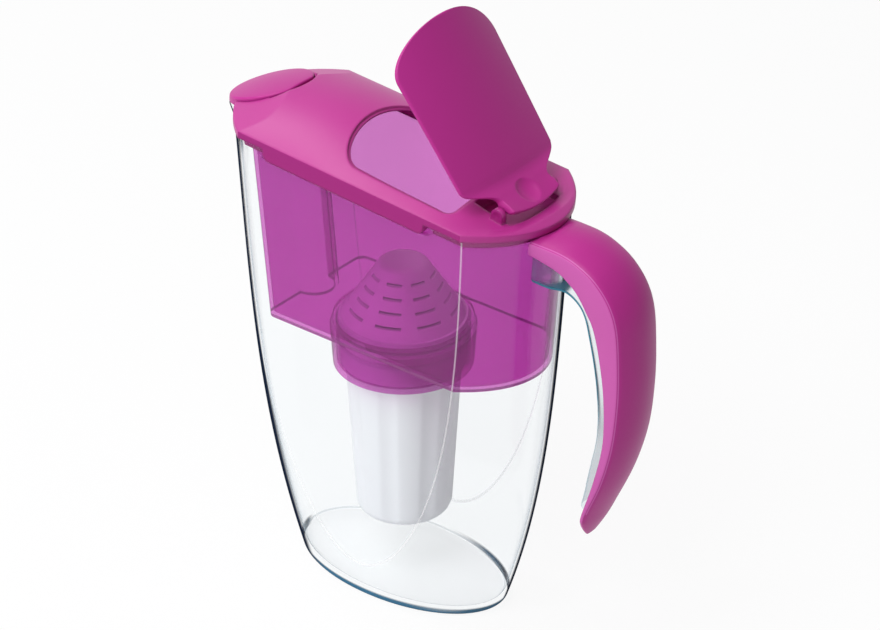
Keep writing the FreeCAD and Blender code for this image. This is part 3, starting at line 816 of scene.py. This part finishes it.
@dataclass
class Jug:
    """Clear jug with flat sides and a pouring lip."""

    form: JugForm
    wall: float = 2.2
    floor: float = 4.0
    floor_round: float = 3.0
    floor_shares: tuple[float, ...] = (0.8, 0.4, 0.0)
    floor_slack: float = 0.2
    foot_round: float = 2.0
    foot_hollow: float = 0.7
    foot_shares: tuple[Range, ...] = ((0.4, 0.9), (0.8, 0.4), (0.96, 0.0))
    rim_drop: float = 4.0
    rim_passes: int = 6
    dip_drop: float = 10.0
    dip_start: float = -57.0
    dip_end: float = 51.0
    dip_side: float = 35.2
    dip_soft: float = 1.0
    lip_start: float = -94.5
    lip_slope: float = 0.32
    lip_soft: float = 0.8
    columns: int = 360
    wall_rows: int = 64
    foot_steps: int = 5
    floor_steps: int = 7
    rim_steps: int = 8

    def dip(self, x: float) -> float:
        """1 along the dips in the rim, 0 past their ends."""
        soft = self.dip_soft
        start, end = (smooth_step(at - soft, at + soft, x) for at in (self.dip_start, self.dip_end))
        return start - end

    def rim(self, turn: float) -> float:
        """Height of the rim in one direction.

        Args:
            turn: Direction from the handle side, in radians.

        Returns:
            Height of the rim's top.
        """
        z = self.form.rim_z
        for _ in range(self.rim_passes):
            at = self.form.point(turn, z - self.rim_drop, 0.0)
            drop = self.rim_drop
            if abs(at.y) > self.dip_side:
                drop += (self.dip_drop - self.rim_drop) * self.dip(at.x)
            drop += self.lip_slope * soft_max(0.0, self.lip_start - at.x, self.lip_soft)
            z = self.form.plane(at.x) - drop
        return z

    def profile(self, turn: float) -> list[Vector]:
        """Line round the wall's section, from under the foot over the rim to the inner floor.

        Args:
            turn: Direction from the handle side, in radians.

        Returns:
            Points from pole to pole.
        """
        form, r, half = self.form, self.foot_round, self.wall / 2
        top = self.rim(turn) - half
        line = [Vector((0, 0, self.foot_hollow))]
        edge = form.point(turn, 0.0, r)
        for share, height in self.foot_shares:
            line.append(Vector((edge.x * share, edge.y * share, height * self.foot_hollow)))
        for a in quarter(self.foot_steps):
            line.append(form.point(turn, r - r * math.cos(a), r - r * math.sin(a)))
        for i in range(1, self.wall_rows):
            line.append(form.point(turn, r + (top - r) * i / self.wall_rows, 0.0))
        for i in range(self.rim_steps + 1):
            a = math.pi * i / self.rim_steps
            line.append(form.point(turn, top + half * math.sin(a), half - half * math.cos(a)))
        low = self.floor + self.floor_round
        for i in range(1, self.wall_rows):
            line.append(form.point(turn, top + (low - top) * i / self.wall_rows, self.wall))
        for a in quarter(self.floor_steps):
            inset = self.wall + self.floor_round * (1 - math.cos(a))
            line.append(form.point(turn, low - self.floor_round * math.sin(a), inset))
        edge = line[-1]
        for share in self.floor_shares:
            line.append(Vector((edge.x * share, edge.y * share, self.floor)))
        return line

    def build(self) -> bpy.types.Object:
        """Models the jug.

        Returns:
            The jug's mesh object.
        """
        piece = Bench.round_skin("clear_jug", self.profile, self.columns)
        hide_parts("jug")
        return piece

    def dress(self, piece: bpy.types.Object) -> None:
        """Gives the jug its polished outside and the softer look of its inside.

        Args:
            piece: The jug's mesh object.
        """
        outside = JugWall(
            "clear_polished", (0.985, 0.993, 0.997, 1), NAVY, TEAL, 0.74, 0.84, 0.985, form=self.form)
        Bench.dress(piece, outside.material(), Slot.CLEAR, "jug")
        piece.data.materials.append(CLEAR_IN.material())
        for face in piece.data.polygons:
            middle = face.center / MM
            turn = math.atan2(middle.y, middle.x)
            away = self.form.radius(turn, middle.z, 0.0) - math.hypot(middle.x, middle.y)
            inside = away > self.wall / 2 and middle.z > self.floor - self.floor_slack
            face.material_index = 1 if inside else 0


@dataclass
class Handle:
    """Free-ended handle: a satin cover over the jug's clear spine."""

    form: JugForm
    crest: tuple[tuple[float, float, float, float], ...] = (
        (92.0, 240.5, 11.0, 16.5), (112.0, 240.0, 14.5, 16.5), (125.0, 236.5, 17.0, 16.5),
        (136.0, 230.0, 19.0, 16.5), (145.0, 219.5, 20.0, 16.5), (150.0, 206.0, 18.5, 16.5),
        (151.8, 185.5, 15.3, 16.5), (151.8, 163.0, 12.3, 16.5), (149.0, 137.0, 9.5, 16.5),
        (142.0, 112.0, 8.0, 16.0), (131.5, 88.0, 5.5, 15.0), (127.6, 79.8, 4.6, 11.5), (123.0, 71.5, 3.4, 4.0))
    steps: int = 97
    wide: float = 16.5
    crown: float = 4.0
    crown_steps: int = 7
    corner: float = 1.0
    corner_steps: int = 4
    low_steps: int = 3
    skin: float = 3.2
    skin_gap: float = 0.2
    web: float = 0.4
    channel: float = 11.3
    mouth: float = 0.6
    ease: float = 0.3
    lit_side_normal: float = 0.8
    root_x: float = 120.0
    root_z: float = 150.0
    root_gap: float = 0.3
    lid_drop: float = 4.3
    lid_end: Range = (98.6, 104.0)
    past_lid: float = 30.0
    edge: tuple[Range, ...] = (
        (90.0, 209.0), (99.0, 208.8), (110.7, 210.0), (120.4, 203.0), (125.4, 187.0), (129.3, 168.0),
        (131.2, 149.5), (130.6, 134.0), (127.4, 119.0), (124.4, 106.0), (122.6, 93.0))
    spine_rows: int = 11
    spine_steps: int = 64
    spine_root: int = 8
    spine_half: float = 11.0
    spine_cover: float = 3.6
    spine_corner: float = 5.0
    spine_share: float = 2.6

    def frames(self) -> list[tuple[Vector, Vector, float, float]]:
        """Stations along the crest.

        Returns:
            Crest point, outward direction, depth and half-width of each.
        """
        rows = spline(self.crest, self.steps)
        made = []
        for i, (x, z, depth, half) in enumerate(rows):
            before, after = rows[max(i - 1, 0)], rows[min(i + 1, self.steps - 1)]
            way = Vector((after[0] - before[0], 0, after[1] - before[1])).normalized()
            made.append((Vector((x, 0, z)), Vector((-way.z, 0, way.x)), depth, half))
        return made

    def spine_end(self) -> float:
        """Station along the crest at which the spine ends."""
        return (self.spine_rows - 1) / (len(self.crest) - 1) * (self.steps - 1)

    def clear_of_jug(self, at: Vector) -> Vector:
        """Holds a point off the jug's wall and under the lid's edge.

        Args:
            at: A point of the handle.

        Returns:
            The point, moved out where it was inside.
        """
        if at.x < self.root_x and at.z > self.root_z:
            turn = math.atan2(at.y, at.x)
            wall = self.form.point(turn, min(at.z, self.form.rim_z), -self.root_gap)
            at.x = max(at.x, wall.x)
            top = self.form.plane(at.x) - self.lid_drop + self.past_lid * smooth_step(*self.lid_end, at.x)
            at.z = min(at.z, top)
        return at

    def section(self, depth: float, half: float, hollow: bool) -> list[Range]:
        """Outline of the cover's section: crowned back, straight sides, channel on the inside.

        Args:
            depth: Depth below the crest.
            half: Half-width.
            hollow: Whether the spine's channel is in it.

        Returns:
            Places across the handle and below the crest, all round.
        """
        sag = self.crown * (half / self.wide) ** 2
        corner = min(self.corner, depth / 4)
        right = []
        for i in range(self.crown_steps + 1):
            y = (half - corner) * i / self.crown_steps
            right.append((y, sag * (y / half) ** 2))
        for a in quarter(self.corner_steps)[1:]:
            right.append((half - corner + corner * math.sin(a), sag + corner - corner * math.cos(a)))
        low = max(depth, sag + 2 * corner)
        for a in quarter(self.low_steps):
            right.append((half - corner + corner * math.cos(a), low - corner + corner * math.sin(a)))
        channel = min(self.channel, half - 2 * corner)
        roof = min(self.skin + self.skin_gap, low - self.web) if hollow else low
        lower, upper = (low - self.ease, roof + self.ease) if hollow else (low, low)
        right += [(channel + self.mouth, low), (channel, lower), (channel, upper),
                  (channel - self.mouth, roof), (channel / 2, roof)]
        left = [(-y, n) for y, n in reversed(right[1:])]
        return right + [(0.0, roof)] + left

    def cover(self) -> bpy.types.Object:
        """Models the satin cover.

        Returns:
            Its mesh object.
        """
        rows = []
        for i, (crest, out, depth, half) in enumerate(self.frames()):
            outline = self.section(depth, half, i < self.spine_end())
            rows.append([self.clear_of_jug(crest - out * n + Vector((0, y, 0))) for y, n in outline])
        piece = Bench.skin("handle_grip", [gathered(rows[0]), *rows, gathered(rows[-1])])
        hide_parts("handle_cover")
        return piece

    def dress_cover(self, piece: bpy.types.Object, crest: bpy.types.Material, side: bpy.types.Material) -> None:
        """Gives the cover its finish, with painted light on its flat sides, which get a paler copy of it.

        Args:
            piece: The cover.
            crest: Finish of the back.
            side: Paler finish of the sides, which paints light on them.
        """
        Bench.dress(piece, crest, Slot.MAGENTA, "jug")
        piece.data.materials.append(side)
        for face in piece.data.polygons:
            face.material_index = 1 if abs(face.normal.y) > self.lit_side_normal else 0

    def spine(self) -> bpy.types.Object:
        """Models the clear spine that carries the cover.

        Returns:
            Its mesh object.
        """
        frames = self.frames()
        rows = []
        for i, (x, z) in enumerate(spline(self.edge, self.spine_steps)):
            crest, out, _, _ = frames[round(self.spine_end() * i / (self.spine_steps - 1))]
            back = crest - out * self.spine_cover
            deep = Vector((x, 0, z)) - back
            length = deep.length
            deep.normalize()
            corner = min(self.spine_corner, length / self.spine_share)
            ring = []
            for start, (side, near) in enumerate(((1, True), (1, False), (-1, False), (-1, True))):
                for k in range(self.corner_steps + 1):
                    a = QUARTER * (start + k / self.corner_steps) - QUARTER
                    d = (corner if near else length - corner) + corner * math.sin(a)
                    y = side * (self.spine_half - corner) + corner * math.cos(a)
                    ring.append(back + deep * d + Vector((0, y, 0)))
            rows.append([self.clear_of_jug(p) if i > self.spine_root else p for p in ring])
        return Bench.skin("clear_spine", [gathered(rows[0]), *rows, gathered(rows[-1])])


@dataclass(frozen=True)
class LidForm:
    """Tilted plane of the lid's edge and the crown over it, in millimetres."""

    rim_z: float = 250.0
    tilt: float = math.radians(4.175)
    half: float = 43.8
    ridge: tuple[Range, ...] = (
        (-65.0, 13.6), (-45.0, 14.4), (-22.0, 13.4), (0.0, 10.8), (30.0, 7.8), (63.0, 4.5), (98.4, 4.5))

    def world(self, x: float, y: float, h: float) -> Vector:
        """Point of the lid's own frame in the pitcher's frame."""
        c, s = math.cos(self.tilt), math.sin(self.tilt)
        return Vector((x * c + h * s, y, self.rim_z - x * s + h * c))

    def crown(self, x: float, y: float) -> float:
        """Height of the crown over the edge plane.

        Args:
            x: Place along the lid.
            y: Place across it.

        Returns:
            The height.
        """
        h = on_line(self.ridge, x)
        r = (self.half ** 2 + h ** 2) / (2 * h)
        return h - r + math.sqrt(r * r - y * y)


@dataclass
class Flap:
    """Filling flap: a crowned plate that runs through a curved neck into a thumb tab with a dimple."""

    lid: LidForm
    pivot: Range = (77.3, 4.3)
    opened: float = math.radians(47.9)
    lift: float = 0.4
    thick: float = 2.0
    tip: float = -22.7
    shoulder: float = -2.2
    wide: float = 38.3
    sides: tuple[Range, ...] = (
        (-2.2, 38.3), (28.0, 37.3), (56.0, 36.4), (59.5, 36.0), (61.8, 34.6), (63.6, 32.0), (65.6, 28.0),
        (67.6, 23.8), (69.4, 20.9), (71.2, 19.4), (73.0, 18.9), (77.0, 18.9), (81.9, 18.7))
    under: tuple[Range, ...] = (
        (60.0, 5.2), (63.0, 5.0), (70.0, 5.0), (75.0, 3.9), (77.3, 3.3), (79.2, 4.6), (81.9, 7.4))
    neck: Range = (60.0, 70.0)
    tab_start: Range = (66.0, 7.0)
    tab_end: Range = (81.9, 12.4)
    bow: float = 3.0
    edge_round: float = 1.0
    end_draw: float = 0.9
    dimple_r: float = 11.0
    dimple_depth: float = 2.4
    least_half: float = 0.001
    across: int = 64
    tip_steps: int = 24
    side_steps: int = 121
    end_steps: int = 4

    def station(self, x: float, half: float, grown: float) -> list[Vector]:
        """One ring round the flap.

        Args:
            x: Place along the flap.
            half: Half-width there.
            grown: Share of the full thickness.

        Returns:
            Points of the ring, over the top and back underneath.
        """
        rows = []
        for i in range(self.across + 1):
            f = math.sin(QUARTER * (2 * i / self.across - 1))
            rows.append(self.slice(x, f * half, half, grown))
        low = [row[0] for row in reversed(rows[1:-1])]
        return [row[1] for row in rows] + low

    def slice(self, x: float, y: float, half: float, grown: float) -> tuple[Vector, Vector]:
        """Bottom and top of the flap at one place, with rounded edges.

        Args:
            x: Place along the flap, drawn shut.
            y: Place across it.
            half: Half-width there.
            grown: Share of the full thickness.

        Returns:
            The two points in the pitcher's frame, flap open.
        """
        (start_x, start_h), (end_x, end_h) = self.tab_start, self.tab_end
        plate = self.lid.crown(min(x, start_x), y) + self.lift
        tab = start_h + (end_h - start_h) / (end_x - start_x) * (x - start_x)
        turn = smooth_step(*self.neck, x)
        top = plate + self.thick + (tab - plate - self.thick) * turn
        low = plate + (on_line(self.under, x) - plate) * turn
        near = self.dimple_r ** 2 - (x - (start_x + end_x) / 2) ** 2 - y * y
        if near > 0:
            top -= max(0.0, math.sqrt(near) - self.dimple_r + self.dimple_depth)
        inset = min(1.0, max(0.0, half - abs(y)) / self.edge_round)
        scale = grown * math.sqrt(1 - (1 - inset) ** 2)
        mid, part = (top + low) / 2, (top - low) / 2 * scale
        at = x - self.bow * (y / self.sides[-1][1]) ** 2 * smooth_step(self.neck[1], end_x, x)
        return self.turned(at, y, mid - part), self.turned(at, y, mid + part)

    def turned(self, x: float, y: float, h: float) -> Vector:
        """Swings a point of the shut flap open on its pivot.

        Args:
            x: Place along the lid.
            y: Place across it.
            h: Height over the lid's edge plane.

        Returns:
            The point in the pitcher's frame.
        """
        dx, dh = x - self.pivot[0], h - self.pivot[1]
        c, s = math.cos(self.opened), math.sin(self.opened)
        return self.lid.world(self.pivot[0] + dx * c + dh * s, y, self.pivot[1] - dx * s + dh * c)

    def build(self) -> bpy.types.Object:
        """Models the flap.

        Returns:
            Its mesh object.
        """
        reach = self.shoulder - self.tip
        rows = []
        for a in quarter(self.tip_steps):
            x = self.shoulder - reach * math.cos(a)
            half = self.wide * math.sqrt(max(0.0, 1 - ((x - self.shoulder) / reach) ** 2))
            edge = min(1.0, (x - self.tip) / self.edge_round)
            rows.append(self.station(x, max(half, self.least_half), math.sqrt(1 - (1 - edge) ** 2)))
        for x, half in spline(self.sides, self.side_steps)[1:]:
            rows.append(self.station(x, half, 1.0))
        end, half = self.sides[-1]
        for a in quarter(self.end_steps)[1:]:
            drawn = half - self.end_draw * (1 - math.cos(a))
            rows.append(self.station(end + self.edge_round * math.sin(a), drawn, 0.5 + 0.5 * math.cos(a)))
        piece = Bench.skin("filling_flap", [*rows, gathered(rows[-1])])
        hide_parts("fill_flap")
        return piece


@dataclass
class Leaf:
    """Spout cover: a domed leaf with a rounded edge over the pouring lip."""

    lid: LidForm
    centre: float = -86.9
    radius: float = 21.5
    back: float = -67.4
    back_soft: float = 0.4
    dome: float = 120.0
    dome_x: float = -42.06
    dome_h: float = -105.1
    dome_shares: tuple[float, ...] = (0.0, 0.15, 0.3, 0.45, 0.6, 0.74, 0.86)
    floor: float = -3.6
    lip_start: float = -94.5
    lip_slope: float = 0.32
    thick: float = 1.8
    under_shares: tuple[float, ...] = (1.0, 0.7, 0.35, 0.0)
    edge_round: float = 1.1
    edge_steps: int = 5
    shelf: float = 7.4
    shelf_drop: float = 1.4
    columns: int = 160

    def reach(self, turn: float, inset: float) -> float:
        """Distance of the leaf's edge from its middle.

        Args:
            turn: Direction from the handle side.
            inset: How far the edge is drawn in.

        Returns:
            The distance.
        """
        r = self.radius - inset
        back = self.back - self.centre - inset
        return r if math.cos(turn) * r <= back else soft_min(r, back / math.cos(turn), self.back_soft)

    def top(self, x: float, y: float, drop: float) -> float:
        """Height of the dome, drawn down by drop."""
        return self.dome_h - drop + math.sqrt(self.dome ** 2 - (x - self.dome_x) ** 2 - y * y)

    def line(self, turn: float) -> list[Vector]:
        """Section of the leaf from its middle over the edge to the hollow underneath.

        Args:
            turn: Direction from the handle side.

        Returns:
            Points in the pitcher's frame.
        """
        c, s = math.cos(turn), math.sin(turn)
        edge, inner = self.reach(turn, 0.0), self.reach(turn, self.thick)
        marks = [(share * self.reach(turn, self.edge_round), 0.0) for share in self.dome_shares]
        for a in quarter(self.edge_steps):
            inset = self.edge_round * (1 - math.sin(a))
            marks.append((self.reach(turn, inset), self.edge_round * (1 - math.cos(a))))
        made = [self.spot(r * c, r * s, drop) for r, drop in marks]
        shelf = min(self.shelf, self.top(self.centre + edge * c, edge * s, self.shelf_drop * self.edge_round))
        for r, h in ((edge, shelf), (self.radius, shelf), (self.radius, -math.inf), (inner, -math.inf)):
            made.append(self.spot(r * c, r * s, 0.0, h))
        for share in self.under_shares:
            made.append(self.spot(share * inner * c, share * inner * s, self.thick))
        return made

    def spot(self, along: float, across: float, drop: float, height: float | None = None) -> Vector:
        """Point of the leaf, never below its foot.

        Args:
            along: Place along the lid from the leaf's middle.
            across: Place across it.
            drop: Depth below the dome.
            height: Height over the lid's edge plane, or None for the dome's.

        Returns:
            The point in the pitcher's frame.
        """
        x = self.centre + along
        foot = self.floor - self.lip_slope * max(0.0, self.lip_start - x)
        return self.lid.world(x, across, max(foot, self.top(x, across, drop) if height is None else height))

    def build(self) -> bpy.types.Object:
        """Models the leaf.

        Returns:
            Its mesh object.
        """
        piece = Bench.round_skin("spout_leaf", self.line, self.columns)
        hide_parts("spout_cover")
        return piece


@dataclass
class Studio:
    """Plain pale floor, soft light and the camera."""

    azimuth: float = math.radians(38.633)
    height: float = math.radians(30.489)
    distance: float = 2.0
    lens: float = 160.27
    sensor: float = 36.0
    clip: Range = (0.05, 60.0)
    target: tuple[float, float, float] = (0.024067, 0.0, 0.162815)
    lamps: tuple[tuple[str, tuple[float, float, float], float, float], ...] = (
        ("key", (0.13, -1.20, 2.0), 1.2, 34.0),
        ("sheen", (-1.02, -0.1, 1.86), 0.9, 16.0),
        ("fill", (-0.9, -1.6, 0.5), 1.2, 9.0))
    floor_size: float = 12.0
    floor_z: float = -0.0004
    floor_colour: Colour = (0.86, 0.86, 0.87, 1)
    floor_glow: float = 0.9
    world_fill: float = 0.22
    see_through: int = 48
    bounces: int = 16

    def camera(self) -> None:
        """Sets the camera at the photograph's viewing angle."""
        level = math.cos(self.height)
        back = Vector((math.sin(self.azimuth) * level, -math.cos(self.azimuth) * level, math.sin(self.height)))
        data = bpy.data.cameras.new("camera")
        data.lens = self.lens
        data.sensor_width = self.sensor
        data.clip_start, data.clip_end = self.clip
        camera = bpy.data.objects.new("camera", data)
        bpy.context.scene.collection.objects.link(camera)
        camera.location = Vector(self.target) + back * self.distance
        camera.rotation_euler = (-back).to_track_quat("-Z", "Y").to_euler()
        bpy.context.scene.camera = camera

    def lamp(self, name: str, at: Sequence[float], size: float, power: float) -> None:
        """Hangs one square white soft box that looks at the pitcher.

        Args:
            name: Its name.
            at: Its place in metres.
            size: Its side in metres.
            power: Its power in watts.
        """
        data = bpy.data.lights.new(name, "AREA")
        data.shape = "SQUARE"
        data.size = size
        data.energy = power
        lamp = bpy.data.objects.new(name, data)
        bpy.context.scene.collection.objects.link(lamp)
        lamp.location = at
        lamp.rotation_euler = (Vector(self.target) - Vector(at)).to_track_quat("-Z", "Y").to_euler()

    def seen(self, graph: Graph) -> Wire:
        """1 for rays from the camera, mirrors and glass."""
        rays = [graph.node("ShaderNodeLightPath", {}, {}, name)
                for name in ("Is Camera Ray", "Is Glossy Ray", "Is Transmission Ray")]
        return (rays[0] + rays[1] + rays[2]).at_most(1.0)

    def floor(self) -> None:
        """Lays the pale floor, which keeps the pitcher's shadow."""
        Bench.clear()
        bpy.ops.mesh.primitive_plane_add(size=self.floor_size, location=(0, 0, self.floor_z))
        floor = bpy.context.object
        floor.name = "floor"
        material, graph = new_material("pale_floor")
        glow = graph.node("ShaderNodeEmission", {}, {"Color": LIGHT, "Strength": 1.0})
        graph.finish(graph.mix(self.seen(graph) * self.floor_glow, graph.matte(self.floor_colour), glow))
        floor.data.materials.append(material)

    def surroundings(self) -> None:
        """Makes the world white to look at, and a faint fill for the rest of the light."""
        world = bpy.data.worlds.new("surroundings")
        world.use_nodes = True
        bpy.context.scene.world = world
        graph = Graph(world.node_tree)
        fill, white = (graph.node("ShaderNodeBackground", {}, {"Color": LIGHT, "Strength": strength})
                       for strength in (self.world_fill, 1.0))
        graph.finish(graph.mix(self.seen(graph), fill, white), "ShaderNodeOutputWorld")

    def build(self) -> None:
        """Sets the whole studio up."""
        self.camera()
        self.floor()
        self.surroundings()
        for lamp in self.lamps:
            self.lamp(*lamp)
        scene = bpy.context.scene
        scene.view_settings.view_transform = "Standard"
        scene.cycles.transparent_max_bounces = self.see_through
        scene.cycles.max_bounces = self.bounces


def main() -> None:
    """Builds and dresses the pitcher."""
    logging.basicConfig(level=logging.INFO, format="%(name)s: %(message)s")
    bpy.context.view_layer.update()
    Studio().build()
    form = JugForm()
    magenta, tinted, white = (finish.material() for finish in (MAGENTA, TINTED, WHITE))
    jug = Jug(form)
    jug.dress(jug.build())
    handle = Handle(form)
    # The handle's flat sides get the paler copy, which is painted light.
    handle.dress_cover(handle.cover(), magenta, MAGENTA_PAINTED_LIGHT.material())
    Bench.dress(handle.spine(), CLEAR_SPINE.material(), Slot.CLEAR, "jug")
    lid = LidForm()
    # The lid's side walls get the darker copy, which is painted shade.
    Bench.dress_node("lid_cover", MAGENTA_LID.material(), MAGENTA_PAINTED_SHADE.material())
    Bench.dress(Flap(lid).build(), magenta, Slot.MAGENTA, "flap")
    Bench.dress(Leaf(lid).build(), magenta, Slot.MAGENTA, "spout_cover")
    for node, material in (
            ("hopper", tinted), ("cartridge_cup", WHITE_MOULD.material()), ("cartridge_head", white),
            ("cartridge_dome", PALE.material()), ("well_seal", RUBBER.material()),
            ("inlet_screen", MESH.material()), ("sorbent_bed", GRANULES.material()),
            ("outlet_pad", MESH.material()), ("outlet_grid", white)):
        Bench.dress_node(node, material)


if __name__ == "__main__":
    main()
